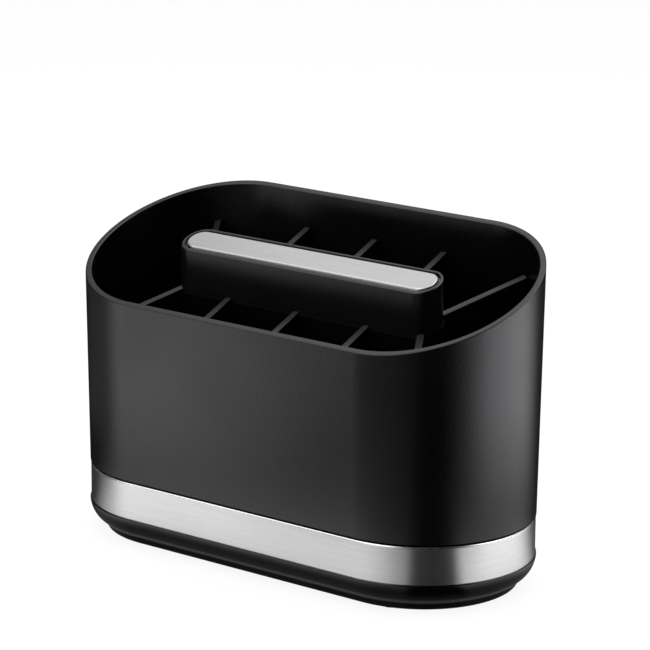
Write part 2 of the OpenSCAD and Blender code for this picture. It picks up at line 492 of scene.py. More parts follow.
def grain_group() -> EffectGroup:
    """Fine moulded grain: a height for bump and a mask of paler flecks.

    Returns:
        The group, with the input Scale and the outputs Height and Flecks.
    """
    coarser, cell_height = 0.7, 0.5
    group = EffectGroup("moulded_grain", {"Scale": FLOAT}, ("Height", "Flecks"))
    sheet = group.sheet
    place = sheet.add("ShaderNodeTexCoord").outputs["Object"]
    scale = group.inlet.outputs["Scale"]
    fine = sheet.noise(place, scale, detail=3.0, rough=0.6)
    cells = sheet.add(
        "ShaderNodeTexVoronoi",
        {"Vector": place, "Scale": sheet.product(scale, coarser), "Randomness": 1.0},
        feature="SMOOTH_F1",
    )
    height = sheet.math("MULTIPLY_ADD", cells.outputs["Distance"], cell_height, fine)
    flecks = sheet.ramp(fine, limits=(0.42, 0.66))
    sheet.feed(group.outlet, {"Height": height, "Flecks": flecks})
    return group


def smudge_group() -> EffectGroup:
    """Slow change of gloss over a moulded or rubbed surface.

    Returns:
        The group, with the input Scale and the output Mask.
    """
    group = EffectGroup("slow_gloss", {"Scale": FLOAT}, ("Mask",))
    sheet = group.sheet
    place = sheet.add("ShaderNodeTexCoord").outputs["Object"]
    slow = sheet.noise(place, group.inlet.outputs["Scale"], detail=2.0, rough=0.5, bend=0.4)
    sheet.feed(group.outlet, {"Mask": sheet.ramp(slow, limits=(0.3, 0.7))})
    return group


def brush_group() -> EffectGroup:
    """Brush lines of rolled and brushed steel.

    Returns:
        The group, with the input Stretch, which is lines per metre along each axis, and the outputs
        Lines, for colour and gloss, and Height, for bump.
    """
    group = EffectGroup("brush_lines", {"Stretch": VECTOR}, ("Lines", "Height"))
    sheet = group.sheet
    place = sheet.add("ShaderNodeTexCoord").outputs["Object"]
    stretch = group.inlet.outputs["Stretch"]
    stretched = sheet.add("ShaderNodeMapping", {"Vector": place, "Scale": stretch}).outputs["Vector"]
    broad = sheet.noise(stretched, scale=1.0, detail=3.0, rough=0.6)
    fine = sheet.noise(stretched, scale=4.5, detail=3.0, rough=0.7)
    lines = sheet.ramp(sheet.math("ADD", broad, fine), limits=(0.7, 1.3))
    sheet.feed(group.outlet, {"Lines": lines, "Height": fine})
    return group


@dataclass
class Effects:
    """The node groups that the finishes share."""

    grain: EffectGroup = field(default_factory=grain_group)
    smudge: EffectGroup = field(default_factory=smudge_group)
    brush: EffectGroup = field(default_factory=brush_group)


class MaterialSheet(NodeSheet):
    """The node tree of a new material."""

    def __init__(self, name: str) -> None:
        """Makes the material and keeps its shader.

        Args:
            name: name of the material.
        """
        self.material = bpy.data.materials.new(name)
        self.material.use_nodes = True
        super().__init__(self.material.node_tree)
        self.shader = self.tree.nodes["Principled BSDF"]


@dataclass(frozen=True)
class Finish:
    """What every finish has: two colours, a range of roughness and the depth of its relief."""

    name: str
    dark: Triple
    pale: Triple
    rough: Point
    depth: float

    def draw(
        self, sheet: MaterialSheet, mask: Socket, height: Socket, smudge: Socket, mask_share: float
    ) -> None:
        """Draws a material's colour, gloss and relief.

        Args:
            sheet: the material's tree.
            mask: mask of the paler flecks or lines.
            height: height of the relief.
            smudge: mask of the slow change of gloss.
            mask_share: share of the first mask in the gloss, which has the other mask for the rest.
        """
        own, slow = sheet.product(mask, mask_share), sheet.product(smudge, 1.0 - mask_share)
        bump = sheet.add("ShaderNodeBump", {"Strength": 1.0, "Distance": self.depth, "Height": height})
        values = {
            "Base Color": sheet.blend(mask, self.dark, self.pale),
            "Roughness": sheet.span(sheet.math("ADD", own, slow), *self.rough),
            "Normal": bump.outputs["Normal"],
        }
        sheet.feed(sheet.shader, values)


@dataclass(frozen=True)
class PlasticFinish(Finish):
    """Black moulded plastic or rubber with a fine grain."""

    FLECK_SHARE = 0.4
    SMUDGE_SCALE = 24.0
    TINT = (0.96, 0.95, 1.0, 1.0)

    grain_scale: float
    specular: float = 0.5

    def make(self, effects: Effects) -> Material:
        """Makes the material.

        Args:
            effects: the shared node groups.

        Returns:
            The material.
        """
        sheet = MaterialSheet(self.name)
        grain = effects.grain.place(sheet, {"Scale": self.grain_scale}).outputs
        smudge = effects.smudge.place(sheet, {"Scale": self.SMUDGE_SCALE}).outputs["Mask"]
        self.draw(sheet, grain["Flecks"], grain["Height"], smudge, self.FLECK_SHARE)
        sheet.feed(sheet.shader, {"Specular IOR Level": self.specular, "Specular Tint": self.TINT})
        return sheet.material


class Brushing(Enum):
    """Directions that steel is brushed in, as lines per metre along X, Y and Z."""

    ROUND_THE_BODY = (26.0, 26.0, 1500.0)
    ALONG_THE_HANDLE = (26.0, 1500.0, 1500.0)
    TURNED = (1500.0, 1500.0, 120.0)


@dataclass(frozen=True)
class SteelFinish(Finish):
    """Stainless steel with brush lines, which follow a UV map where the piece has one for them."""

    LINE_SHARE = 0.6
    SMUDGE_SCALE = 16.0
    BRUSH_UV = "brushing"
    BRUSH_TURN = 0.25

    brushing: Brushing
    anisotropy: float = 0.0

    def make(self, effects: Effects) -> Material:
        """Makes the material.

        Args:
            effects: the shared node groups.

        Returns:
            The material.
        """
        sheet = MaterialSheet(self.name)
        lines = effects.brush.place(sheet, {"Stretch": self.brushing.value}).outputs
        smudge = effects.smudge.place(sheet, {"Scale": self.SMUDGE_SCALE}).outputs["Mask"]
        self.draw(sheet, lines["Lines"], lines["Height"], smudge, self.LINE_SHARE)
        sheet.feed(sheet.shader, {"Metallic": 1.0, "Anisotropic": self.anisotropy})
        if self.anisotropy:
            tangent = sheet.add("ShaderNodeTangent", direction_type="UV_MAP", uv_map=self.BRUSH_UV)
            turned = {"Anisotropic Rotation": self.BRUSH_TURN, "Tangent": tangent.outputs["Tangent"]}
            sheet.feed(sheet.shader, turned)
        return sheet.material


class Look(Enum):
    """The finishes of the holder's pieces."""

    SHELL = PlasticFinish(
        "spark_textured_black", (0.0006, 0.0006, 0.0008), (0.0016, 0.0016, 0.0019),
        rough=(0.30, 0.37), depth=mm(0.042), grain_scale=1100.0,
    )
    LINING = PlasticFinish(
        "smooth_lining_black", (0.0006, 0.0006, 0.0007), (0.0012, 0.0012, 0.0014),
        rough=(0.24, 0.32), depth=mm(0.008), grain_scale=1500.0, specular=0.34,
    )
    # Darker black that barely reflects, on the skirt and the edge above the band: painted shade in the gap.
    SEAM = PlasticFinish(
        "gap_painted_shade_black", (0.0004, 0.0004, 0.0005), (0.0008, 0.0008, 0.0009),
        rough=(0.7, 0.8), depth=mm(0.03), grain_scale=1100.0, specular=0.04,
    )
    BASE = PlasticFinish(
        "satin_black", (0.0014, 0.0014, 0.0016), (0.0026, 0.0026, 0.003),
        rough=(0.17, 0.23), depth=mm(0.012), grain_scale=1600.0,
    )
    INSERT = PlasticFinish(
        "insert_black", (0.0014, 0.0014, 0.0016), (0.003, 0.003, 0.0034),
        rough=(0.36, 0.45), depth=mm(0.02), grain_scale=1400.0,
    )
    # Darker, less glossy copy of the insert black for upright and lower faces and the core: painted shade
    # in the compartments.
    INSERT_SIDE = PlasticFinish(
        "insert_painted_shade_black", (0.0008, 0.0008, 0.0009), (0.0016, 0.0016, 0.0018),
        rough=(0.30, 0.38), depth=mm(0.015), grain_scale=1400.0, specular=0.16,
    )
    HANDLE = PlasticFinish(
        "handle_black", (0.0014, 0.0014, 0.0016), (0.003, 0.003, 0.0034),
        rough=(0.28, 0.35), depth=mm(0.02), grain_scale=1400.0, specular=0.55,
    )
    RUBBER = PlasticFinish(
        "foot_rubber", (0.010, 0.010, 0.010), (0.016, 0.016, 0.016),
        rough=(0.66, 0.78), depth=mm(0.03), grain_scale=2200.0, specular=0.35,
    )
    TAPE = PlasticFinish(
        "foam_tape", (0.014, 0.014, 0.014), (0.03, 0.03, 0.03),
        rough=(0.8, 0.9), depth=mm(0.05), grain_scale=2600.0, specular=0.3,
    )
    BAND = SteelFinish(
        "band_steel", (0.55, 0.55, 0.555), (0.66, 0.66, 0.665),
        rough=(0.31, 0.40), depth=mm(0.01), brushing=Brushing.ROUND_THE_BODY, anisotropy=0.85,
    )
    INLAY = SteelFinish(
        "inlay_steel", (0.44, 0.44, 0.445), (0.53, 0.53, 0.535),
        rough=(0.31, 0.40), depth=mm(0.01), brushing=Brushing.ALONG_THE_HANDLE, anisotropy=0.85,
    )
    # Paler, glossier steel on the band's rolled top edge: a painted highlight.
    BAND_EDGE = SteelFinish(
        "band_edge_painted_highlight", (0.80, 0.80, 0.80), (0.90, 0.90, 0.90),
        rough=(0.22, 0.30), depth=mm(0.004), brushing=Brushing.ROUND_THE_BODY, anisotropy=0.6,
    )
    SCREW = SteelFinish(
        "screw_steel", (0.42, 0.42, 0.43), (0.55, 0.55, 0.56),
        rough=(0.30, 0.42), depth=mm(0.008), brushing=Brushing.TURNED,
    )


Looks = dict[Look, Material]


def lay_brush_uv(piece: Piece, outline: Outline, upright: bool) -> None:
    """Gives a brushed piece a UV map whose first axis follows the brush lines.

    Args:
        piece: the steel piece.
        outline: the stadium that the piece follows.
        upright: the lines go round an upright wall, and otherwise along a flat plate.
    """
    mesh = piece.data
    layer = mesh.uv_layers.new(name=SteelFinish.BRUSH_UV)
    for face in mesh.polygons:
        half = 1.0 if face.center.x > 0 else -1.0
        for loop in face.loop_indices:
            x, y, z = mesh.vertices[mesh.loops[loop].vertex_index].co
            layer.data[loop].uv = (outline.along(x, y, half), z) if upright else (x, y)


def dress(piece: Piece, *materials: Material) -> None:
    """Gives a piece or a carried-over solid its materials.

    Args:
        piece: the object to dress.
        materials: its finishes, of which the first goes on every face.
    """
    piece.data.materials.clear()
    for material in materials:
        piece.data.materials.append(material)


def dress_by_tilt(piece: Piece, main: Material, other: Material, limits: Point) -> None:
    """Gives a piece one material, and another where its faces tilt between two limits.

    Args:
        piece: the object to dress.
        main: finish of the other faces.
        other: finish of the faces between the limits.
        limits: least and greatest upward share of such a face's normal.
    """
    dress(piece, main, other)
    for face in piece.data.polygons:
        face.material_index = int(limits[0] < face.normal.z < limits[1])


def stand_in(piece: Piece, body: str, node: str) -> None:
    """Lets a finished piece stand for a solid.

    Args:
        piece: the finished piece.
        body: the body that it moves with.
        node: the solid that it stands for.
    """
    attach(piece, body)
    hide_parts(node)
    low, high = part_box(node)
    corners = [Vector(corner) for corner in piece.bound_box]
    off = max(
        max(abs(min(c[i] for c in corners) - low[i]), abs(max(c[i] for c in corners) - high[i]))
        for i in range(3)
    )
    faces = len(piece.data.polygons)
    LOG.info("%s stands for %s, %d faces, box off by %.2f mm", piece.name, node, faces, off / mm(1))


class ShellZone(IntEnum):
    """Zones of the shell with a finish each, in the order of its materials."""

    OUTSIDE = 0
    LINING = 1
    # The skirt and the edge above the band, in painted shade of the gap.
    SEAM = 2


@dataclass(frozen=True)
class Container:
    """The drafted shell with its slanted rim, and the steel band round its skirt."""

    half_w: float = mm(53.5)
    spine: float = mm(67.1)
    rim_h: float = mm(141.7)
    draft: float = 0.8
    wall_t: float = mm(3)
    floor_z: float = mm(18)
    floor_skin: float = mm(0.1)
    floor_round: float = mm(4)
    skirt_gap: float = mm(0.15)
    lower_round: float = mm(0.8)
    # Share of the lower rounding, from below, that gets the painted shade of the gap.
    gap_shade_share: float = 0.9
    rim_round: float = mm(0.55)
    band_t: float = mm(0.6)
    band_gap: float = mm(0.4)
    band_round: float = mm(0.15)
    band_roll: float = mm(2.2)
    band_roll_turn: float = 28.0
    # Upward share of the normals on the roll that get the painted highlight.
    band_highlight_tilt: Point = (0.2, 0.95)
    steps: int = 64
    edge_steps: int = 4
    round_steps: int = 6
    slant: Slant = Slant()

    @cached_property
    def shell_z(self) -> float:
        """Height of the shell's outer lower edge, above the band."""
        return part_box("steel_band")[1].z + self.band_gap

    @cached_property
    def skirt_r(self) -> float:
        """Radius of the shell's skirt behind the band."""
        return Outline.of_node("steel_band").radius - self.band_t - self.skirt_gap

    @property
    def blank_h(self) -> float:
        """Height of the shell before its rim is cut."""
        return self.rim_h + 2 * self.half_w * self.slant.rise

    def wall_r(self, z: float) -> float:
        """Outer radius of the drafted wall at a height, about the round end's centre."""
        return self.half_w + (z - self.shell_z) * math.tan(math.radians(self.draft))

    def shell_profile(self) -> list[Point]:
        """Half profile of the shell before its rim is cut.

        Returns:
            The points from the underside's middle to the floor's middle.
        """
        low_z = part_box("steel_band")[0].z
        edge, bowl = self.lower_round, self.floor_round
        top_r = self.wall_r(self.blank_h)
        inner_floor = self.wall_r(self.floor_z + bowl) - self.wall_t
        return [
            (0.0, low_z),
            (self.skirt_r, low_z),
            (self.skirt_r, self.shell_z),
            *arc((self.half_w - edge, self.shell_z + edge), edge, -90, 0, self.edge_steps),
            (top_r, self.blank_h),
            (top_r - self.wall_t, self.blank_h),
            *arc((inner_floor - bowl, self.floor_z + bowl), bowl, 0, -90, self.round_steps),
            (0.0, self.floor_z),
        ]

    def zone(self, face: bpy.types.MeshPolygon) -> ShellZone:
        """The zone that a face of the shell belongs to.

        Args:
            face: the face.

        Returns:
            Its zone: the inside below the rim's rounding, the skirt with the edge above the band, which
            is painted as the shade of the gap, or the rest.
        """
        x, y, z = face.center
        out = Vector((math.copysign(max(0.0, abs(x) - self.spine), x), y))
        below_rim = (at_height(self.rim_h) - face.center).dot(self.slant.normal) > self.rim_round
        if out.length < self.skirt_r - self.wall_t / 2 or face.normal.xy.dot(out) < 0:
            lined = z > self.floor_z - self.floor_skin and below_rim
            return ShellZone.LINING if lined else ShellZone.OUTSIDE
        # The skirt and the lowest part of the edge above the band get the painted shade of the gap.
        in_gap_shade = z < self.shell_z + self.lower_round * self.gap_shade_share
        return ShellZone.SEAM if in_gap_shade else ShellZone.OUTSIDE

    def build_shell(self, looks: Looks) -> None:
        """Builds and dresses the shell.

        Args:
            looks: the holder's materials.
        """
        shell = Bench.sweep("moulded_shell", self.shell_profile(), self.spine, self.steps)
        top, normal = at_height(self.rim_h), self.slant.normal
        Bench.cut(shell, top, normal, fill=False)
        Bench.take(shell)
        Bench.pick(shell, "EDGE", lambda edge: edge.is_boundary)
        bpy.ops.mesh.bridge_edge_loops()
        Bench.pick_borders(shell, top, normal)
        Bench.bevel(self.rim_round, self.edge_steps)
        Bench.tidy(shell)
        Bench.finish(shell)
        dress(shell, looks[Look.SHELL], looks[Look.LINING], looks[Look.SEAM])
        for face in shell.data.polygons:
            face.material_index = self.zone(face)
        stand_in(shell, "container", "container_shell")

    def build_band(self, looks: Looks) -> None:
        """Builds and dresses the steel band, with its upper edge rolled in and paler steel on the
        roll's upward faces as a painted highlight.

        Args:
            looks: the holder's materials.
        """
        low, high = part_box("steel_band")
        outline = Outline.of_node("steel_band")
        edge, roll, face_r = self.band_round, self.band_roll, outline.radius
        back_r = face_r - self.band_t
        turn = math.radians(self.band_roll_turn)
        roll_z = high.z - edge - (roll - edge) * math.sin(turn)
        top_r = face_r - (roll - edge) * (1.0 - math.cos(turn)) - edge
        profile = [
            (back_r, low.z),
            *arc((face_r - edge, low.z + edge), edge, -90, 0, self.edge_steps),
            *arc((face_r - roll, roll_z), roll, 0, self.band_roll_turn, self.round_steps),
            *arc((top_r, high.z - edge), edge, self.band_roll_turn, 90, self.edge_steps)[1:],
            (back_r, high.z),
        ]
        band = Bench.sweep("brushed_band", profile, outline.centre, self.steps, closed=True)
        Bench.finish(band)
        lay_brush_uv(band, outline, upright=True)
        # The roll's upward faces get the paler steel, which is a painted highlight.
        dress_by_tilt(band, looks[Look.BAND], looks[Look.BAND_EDGE], self.band_highlight_tilt)
        stand_in(band, "container", "steel_band")


@dataclass(frozen=True)
class Base:
    """The rounded base with its lower tier and a recess for each foot."""

    side_r: float = mm(10.8)
    side_h: float = mm(11.3)
    side_steps: int = 12
    cone_turn: float = 53.0
    tier_inset: float = mm(8.1)
    tier_round: float = mm(1.0)
    tier_steps: int = 5
    wall: float = mm(2.4)
    inside_turn: float = 80.0
    inside_steps: int = 5
    ledge_w: float = mm(5)
    ledge_t: float = mm(3)
    lip_round: float = mm(1.2)
    lip_start: float = 4.0
    lip_steps: int = 6
    foot_fit: float = mm(0.2)
    recess_z: float = mm(2.1)
    recess_sides: int = 40
    steps: int = 64
    feet: tuple[str, ...] = ("foot_front_left", "foot_front_right", "foot_back_left", "foot_back_right")

    def profile(self, outer_r: float, low_z: float, top_z: float) -> list[Point]:
        """Half profile of the hollow base.

        Args:
            outer_r: radius of the top edge.
            low_z: height of the tier's underside.
            top_z: height of the top edge.

        Returns:
            The points from the underside's middle to the inside's middle.
        """
        tier_r = outer_r - self.tier_inset
        round_r = outer_r - self.side_r
        turn, start = math.radians(self.cone_turn), math.radians(self.lip_start)
        tall = self.side_h / self.side_r
        side = [
            (r, top_z + (z - top_z) * tall)
            for r, z in arc(
                (round_r, top_z), self.side_r, -self.cone_turn, -self.lip_start, self.side_steps
            )
        ]
        meet_z = side[0][1] - (side[0][0] - tier_r) / math.tan(turn) * tall
        lip_r = round_r + (self.side_r - self.lip_round) * math.cos(start)
        lip_z = top_z - (self.side_r - self.lip_round) * math.sin(start) * tall
        lip_end = math.degrees(math.asin((top_z - lip_z) / self.lip_round))
        inner_r = self.side_r - self.wall
        under_ledge = math.degrees(math.asin(self.ledge_t / inner_r))
        tier_centre = (tier_r - self.tier_round, low_z + self.tier_round)
        return [
            (0.0, low_z),
            *arc(tier_centre, self.tier_round, -90, 0, self.tier_steps),
            (tier_r, meet_z),
            *side,
            *arc((lip_r, lip_z), self.lip_round, -self.lip_start, lip_end, self.lip_steps)[1:],
            (outer_r - self.ledge_w, top_z),
            (outer_r - self.ledge_w, top_z - self.ledge_t),
            *arc((round_r, top_z), inner_r, -under_ledge, -self.inside_turn, self.inside_steps),
            (tier_r - self.wall, low_z + self.wall),
            (0.0, low_z + self.wall),
        ]

    def build(self, looks: Looks) -> None:
        """Builds and dresses the base.

        Args:
            looks: the holder's materials.
        """
        low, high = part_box("base")
        outline = Outline.of_node("base")
        profile = self.profile(outline.radius, low.z, high.z)
        base = Bench.sweep("moulded_base", profile, outline.centre, self.steps)
        self.cut_recesses(base)
        Bench.finish(base)
        dress(base, looks[Look.BASE])
        stand_in(base, "container", "base")

    def cut_recesses(self, base: Piece) -> None:
        """Cuts the foot recesses into the underside.

        Args:
            base: the base to cut.
        """
        for node in self.feet:
            low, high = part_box(node)
            middle = (low + high) / 2
            Bench.clear()
            bpy.ops.mesh.primitive_cylinder_add(
                vertices=self.recess_sides,
                radius=(high.x - low.x) / 2 + self.foot_fit,
                depth=2 * self.recess_z,
                location=(middle.x, middle.y, 0.0),
            )
            cutter = bpy.context.object
            Bench.apply(base, "BOOLEAN", object=cutter, operation="DIFFERENCE", solver="EXACT")
            bpy.data.objects.remove(cutter)


@dataclass(frozen=True)
class PanelPlace:
    """Where a divider panel stands: its name, its solid, its pivot and the way it runs."""

    name: str
    node: str
    pivot: Vector
    way: Vector


@dataclass(frozen=True)
class DividerInsert:
    """The divider panels that stand in the grooves of the core."""

    pitch: float = mm(41)
    thick: float = mm(3.5)
    flare: float = 30.0
    drop: float = mm(17.9)
    wall_gap: float = mm(0.5)
    inner_r: float = mm(9.35)
    low_z: float = mm(18.4)
    edge_round: float = mm(0.5)
    edge_steps: int = 4
    # Upward share of the normals that get the painted shade: every face but the tops.
    shade_tilt: Point = (-1.1, 0.3)
    slant: Slant = Slant(21.2)

    def places(self) -> list[PanelPlace]:
        """The panels that are modelled: one straight and one corner panel on each side.

        Returns:
            Their places.
        """
        end = Vector((Outline.of_node("divider_core").centre, 0.0, 0.0))
        turn = math.radians(self.flare)
        out = []
        for side, way in (("front", -1.0), ("back", 1.0)):
            ahead = Vector((0.0, way, 0.0))
            flared = Vector((math.sin(turn), way * math.cos(turn), 0.0))
            out += [
                PanelPlace(f"{side}_panel_middle", f"{side}_divider_middle", Vector(), ahead),
                PanelPlace(f"corner_panel_{side}_right", f"corner_divider_{side}_right", end, flared),
            ]
        return out

    def build(self, container: Container, looks: Looks) -> None:
        """Builds and dresses all ten panels, with painted shade on every face but their tops.

        Args:
            container: the container that they stand in.
            looks: the holder's materials.
        """
        for place in self.places():
            panel = self.panel(place, container)
            for piece, node in [(panel, place.node), *self.twins(panel, place)]:
                # Tops keep the plain insert black; the other faces get the painted shade.
                dress_by_tilt(piece, looks[Look.INSERT], looks[Look.INSERT_SIDE], self.shade_tilt)
                stand_in(piece, "insert", node)

    def panel(self, place: PanelPlace, container: Container) -> Piece:
        """Models one panel: a slab that is trimmed to the wall and to the slanted top.

        Args:
            place: where it stands.
            container: the container that it stands in.

        Returns:
            The panel.
        """
        top = container.rim_h - self.drop
        length = container.half_w
        height = container.blank_h - self.low_z
        middle = place.pivot + place.way * (self.inner_r + length / 2)
        Bench.clear()
        bpy.ops.mesh.primitive_cube_add(
            size=1.0,
            location=(middle.x, middle.y, self.low_z + height / 2),
            rotation=(0.0, 0.0, math.atan2(-place.way.x, place.way.y)),
            scale=(self.thick, length, height),
        )
        bpy.ops.object.transform_apply(location=True, rotation=True, scale=True)
        panel = Bench.name(bpy.context.object, place.name)
        Bench.cut(panel, at_height(top), self.slant.normal)
        wall = container.wall_r(top) - container.wall_t - self.wall_gap
        wall_centre = Vector((container.spine, 0.0, 0.0)) if place.pivot.x else place.pivot
        reach = wall + (wall_centre - place.pivot).dot(place.way)
        tilt = math.radians(container.draft)
        outward = place.way * math.cos(tilt) - at_height(math.sin(tilt))
        Bench.cut(panel, place.pivot + place.way * reach + at_height(top), outward)
        Bench.tidy(panel)
        Bench.take(panel)
        Bench.bevel(self.edge_round, self.edge_steps)
        Bench.finish(panel)
        return panel

    def twins(self, panel: Piece, place: PanelPlace) -> list[tuple[Piece, str]]:
        """Copies a panel to the places that share its shape.

        Args:
            panel: the panel to copy.
            place: where it stands.

        Returns:
            Each copy with the solid that it stands for.
        """
        if place.pivot.x:
            mirror = partial(
                bpy.ops.transform.resize, value=(-1.0, 1.0, 1.0), center_override=(0.0, 0.0, 0.0)
            )
            moves = [("right", "left", mirror)]
        else:
            moves = [
                ("middle", word, partial(bpy.ops.transform.translate, value=(step, 0.0, 0.0)))
                for word, step in (("left", -self.pitch), ("right", self.pitch))
            ]
        out = []
        for old, new, move in moves:
            twin = panel.copy()
            twin.data = panel.data.copy()
            bpy.context.scene.collection.objects.link(twin)
            Bench.name(twin, place.name.replace(old, new))
            Bench.take(twin)
            move()
            bpy.ops.mesh.normals_make_consistent(inside=False)
            Bench.finish(twin)
            out.append((twin, place.node.replace(old, new)))
        return out


@dataclass(frozen=True)
class Handle:
    """The handle's moulding with its pocket, and the steel inlay in it."""

    core_z: float = mm(122.0)
    lip_z: float = mm(143.2)
    pocket_z: float = mm(141.6)
    roof_z: float = mm(139.4)
    inlay_low: float = mm(142.0)
    inlay_top: float = mm(143.5)
    wall: float = mm(2)
    pocket_gap: float = mm(1.3)
    lip_round: float = mm(0.8)
    lip_steps: int = 5
    pocket_round: float = mm(0.25)
    foot_round: float = mm(0.3)
    edge_steps: int = 3
    inlay_round: float = mm(0.7)
    inlay_steps: int = 4
    steps: int = 40
    slant: Slant = Slant()

    def block(self, name: str, outline: Outline, low: float, top: float) -> Piece:
        """Models an upright stadium block between two slanted planes.

        Args:
            name: name of the block.
            outline: its plan.
            low: height of its lower plane at mid width.
            top: height of its upper plane at mid width.

        Returns:
            The block.
        """
        radius = outline.radius
        blank_low, blank_top = low - 2 * radius, top + 2 * radius
        profile = [(0.0, blank_low), (radius, blank_low), (radius, blank_top), (0.0, blank_top)]
        block = Bench.sweep(name, profile, outline.centre, self.steps)
        Bench.cut(block, at_height(top), self.slant.normal)
        Bench.cut(block, at_height(low), -self.slant.normal)
        Bench.tidy(block)
        return block

    def build_moulding(self, looks: Looks) -> None:
        """Builds and dresses the moulding: a block with a pocket above and a hollow below.

        Args:
            looks: the holder's materials.
        """
        outline = Outline.of_node("handle_shell")
        inlay = Outline.of_node("handle_plate")
        moulding = self.block("handle_moulding", outline, self.core_z, self.lip_z)
        rim = outline.radius - inlay.radius - self.pocket_gap
        up, lip, foot = self.slant.normal, at_height(self.lip_z), at_height(self.core_z)
        Bench.take(moulding)
        for place, width, move in (
            (lip, rim, self.pocket_z - self.lip_z),
            (foot, self.wall, self.roof_z - self.core_z),
        ):
            Bench.pick(moulding, "FACE", partial(Bench.in_plane, place=place, normal=up))
            bpy.ops.mesh.inset(thickness=width, depth=0.0)
            Bench.extrude((0.0, 0.0, move))
        outer = outline.radius - rim / 2

        def is_outer(edge: bmesh.types.BMEdge) -> bool:
            """Whether an edge lies on the outer half of the rim."""
            middle = (edge.verts[0].co + edge.verts[1].co) / 2
            return math.hypot(max(0.0, abs(middle.x) - outline.centre), middle.y) > outer

        for place, width, segments, wanted in (
            (lip, self.lip_round, self.lip_steps, True),
            (lip, self.pocket_round, self.edge_steps, False),
            (foot, self.foot_round, self.edge_steps, True),
        ):
            Bench.pick_borders(moulding, place, up, lambda edge, side=wanted: is_outer(edge) == side)
            Bench.bevel(width, segments)
        Bench.finish(moulding)
        dress(moulding, looks[Look.HANDLE])
        stand_in(moulding, "insert", "handle_shell")

    def build_inlay(self, looks: Looks) -> None:
        """Builds and dresses the steel inlay, with its upper edge rounded.

        Args:
            looks: the holder's materials.
        """
        outline = Outline.of_node("handle_plate")
        inlay = self.block("handle_inlay", outline, self.inlay_low, self.inlay_top)
        Bench.take(inlay)
        Bench.pick_borders(inlay, at_height(self.inlay_top), self.slant.normal)
        Bench.bevel(self.inlay_round, self.inlay_steps)
        Bench.finish(inlay)
        lay_brush_uv(inlay, outline, upright=False)
        dress(inlay, looks[Look.INLAY])
        stand_in(inlay, "insert", "handle_plate")


@dataclass(frozen=True)
class Sector:
    """A part of the horizon about a pivot on X, in degrees from the front towards the right."""

    middle: float
    half: float
    soft: float
    pivot: float = 0.0


@dataclass(frozen=True)
class Pool:
    """A pool of light on the floor: its part of the horizon, its level and where it sets in."""

    sector: Sector
    glow: float
    start: Point


@dataclass(frozen=True)
class Softbox:
    """A soft studio lamp, seen by the holder and not by the camera."""

    name: str
    place: Triple
    aim: Triple
    width: float
    height: float
    glow: float

    def build(self) -> None:
        """Makes the lamp."""
        lamp = bpy.data.lights.new(self.name, "AREA")
        lamp.shape = "RECTANGLE"
        lamp.size, lamp.size_y = self.width, self.height
        lamp.energy = math.pi * self.width * self.height * self.glow
        box = bpy.data.objects.new(self.name, lamp)
        box.location = self.place
        away = Vector(self.place) - Vector(self.aim)
        box.rotation_euler = away.to_track_quat("Z", "Y").to_euler()
        box.visible_camera = False
        bpy.context.scene.collection.objects.link(box)


def sector_group() -> EffectGroup:
    """Mask that is 0 inside a part of the horizon and 1 outside it, with soft edges.

    Returns:
        The group, with the inputs Vector, Turn, Inner and Outer in radians, and the output Mask.
    """
    angles = {"Turn": FLOAT, "Inner": FLOAT, "Outer": FLOAT}
    group = EffectGroup("horizon_sector", {"Vector": VECTOR, **angles}, ("Mask",))
    sheet, given = group.sheet, group.inlet.outputs
    turned = sheet.add(
        "ShaderNodeVectorRotate",
        {"Vector": given["Vector"], "Angle": given["Turn"]},
        rotation_type="Z_AXIS",
    )
    parts = sheet.add("ShaderNodeSeparateXYZ", {"Vector": turned.outputs["Vector"]}).outputs
    azimuth = sheet.math("ARCTAN2", parts["X"], sheet.product(parts["Y"], -1.0))
    limits = (given["Inner"], given["Outer"])
    mask = sheet.ramp(sheet.math("ABSOLUTE", azimuth), limits, smooth=True)
    sheet.feed(group.outlet, {"Mask": mask})
    return group


class LightSheet(NodeSheet):
    """A node tree of the studio's light, with masks of the horizon and values by kind of ray."""

    def __init__(self, tree: bpy.types.NodeTree, sectors: EffectGroup) -> None:
        """Clears the tree to draw on, and keeps the group that masks the horizon.

        Args:
            tree: the tree.
            sectors: the sector group.
        """
        super().__init__(tree)
        tree.nodes.clear()
        self.sectors = sectors

    def outside(self, place: Socket, *sectors: Sector) -> Socket:
        """Mask of what lies outside some parts of the horizon.

        Args:
            place: the place or direction to test.
            sectors: the parts of the horizon.

        Returns:
            The mask's socket, 0 inside any of the parts.
        """
        masks = []
        for sector in sectors:
            ends = {0: place, 1: (sector.pivot, 0.0, 0.0)}
            moved = self.add("ShaderNodeVectorMath", ends, operation="SUBTRACT")
            values = {
                "Vector": moved.outputs[0],
                "Turn": -math.radians(sector.middle),
                "Inner": math.radians(sector.half - sector.soft),
                "Outer": math.radians(sector.half + sector.soft),
            }
            masks.append(self.sectors.place(self, values).outputs["Mask"])
        return self.product(*masks)

    def by_ray(self, camera: float, diffuse: float, gloss: Socket) -> Socket:
        """A value for each kind of ray.

        Args:
            camera: value that the camera sees.
            diffuse: value that matte surfaces get.
            gloss: value that glossy and clear surfaces show.

        Returns:
            The value's socket.
        """
        rays = self.add("ShaderNodeLightPath").outputs
        seen = self.product(rays["Is Camera Ray"], camera)
        matte = self.product(rays["Is Diffuse Ray"], diffuse)
        mirrored = self.math("MAXIMUM", rays["Is Glossy Ray"], rays["Is Transmission Ray"])
        return self.math("ADD", self.math("ADD", seen, matte), self.product(mirrored, gloss))


